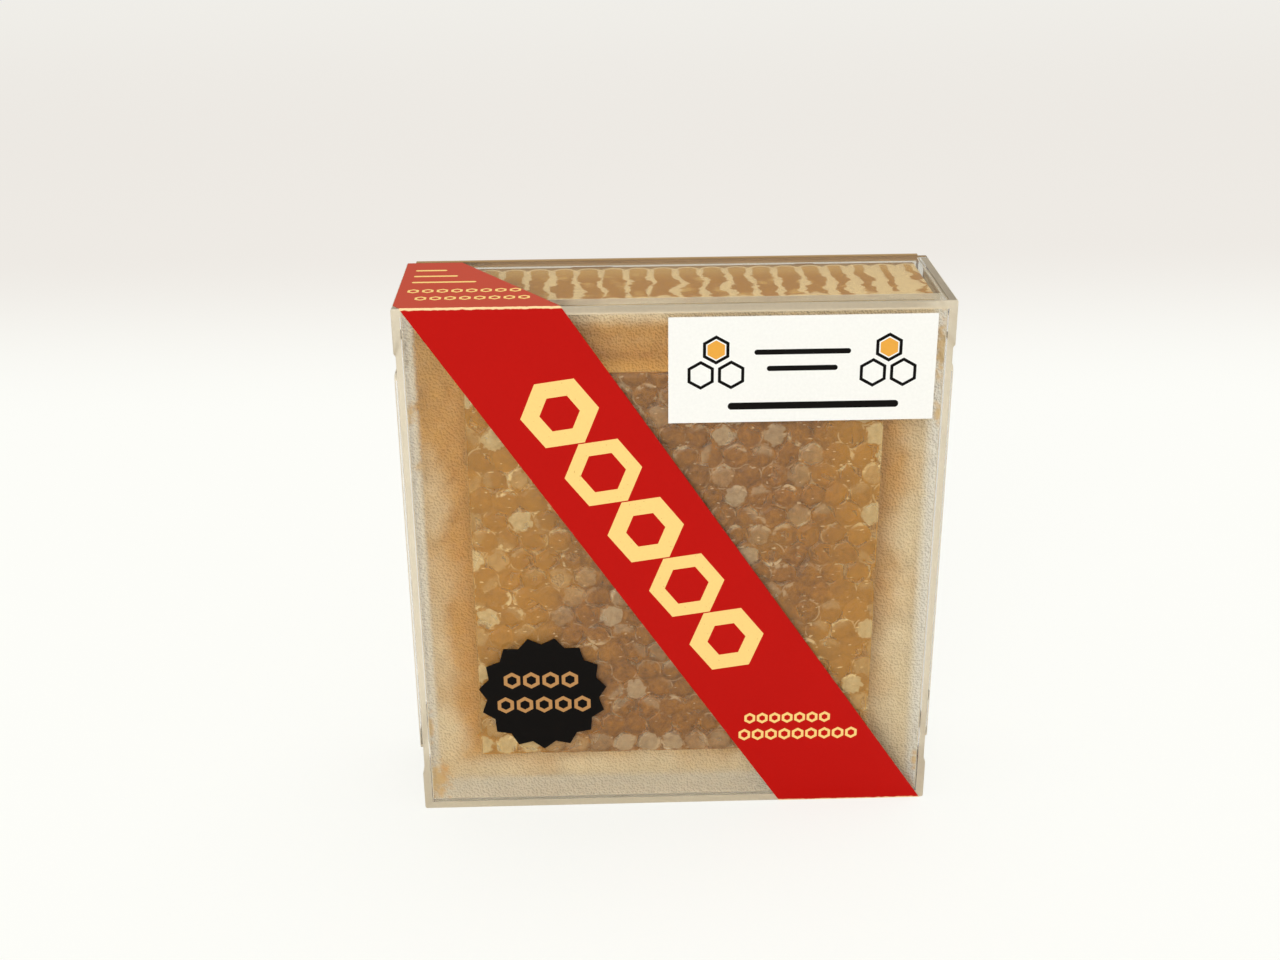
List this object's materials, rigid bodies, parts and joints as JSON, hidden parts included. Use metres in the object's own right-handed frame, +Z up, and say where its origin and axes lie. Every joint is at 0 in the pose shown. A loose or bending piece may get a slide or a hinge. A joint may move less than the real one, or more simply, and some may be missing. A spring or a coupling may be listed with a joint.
{
  "type": "honeycomb piece in clear cassette",
  "caption": "Square piece of capped honeycomb standing in a clear plastic tray and cover, with a leaning paper band, a white label and a saw-tooth round sticker.",
  "frame": {"origin": "middle of the pack's lowest level, under the centre of its bounding box", "axes": "+Z up along the pack's height, -Y out of the front panel, +X to the right seen from the front"},
  "size_m": [0.1108, 0.0342, 0.1154],
  "materials": {
    "clear_plastic": "clear moulded plastic, fine pebble grain on the front, polished walls",
    "tray_plastic": "clear moulded plastic, smooth",
    "honeycomb": "cream wax cappings and cell walls over brown honey, unevenly moist",
    "red_paper": "coated paper, red with cream print, worn along the folds",
    "white_paper": "coated paper, white with black and amber print",
    "black_paper": "black print on a clear sticker"
  },
  "bodies": {
    "root": {"cover": "clear_plastic", "tray": "tray_plastic", "comb": "honeycomb", "band_label": "red_paper", "front_label": "white_paper", "badge_label": "black_paper"}
  },
  "joints": []
}
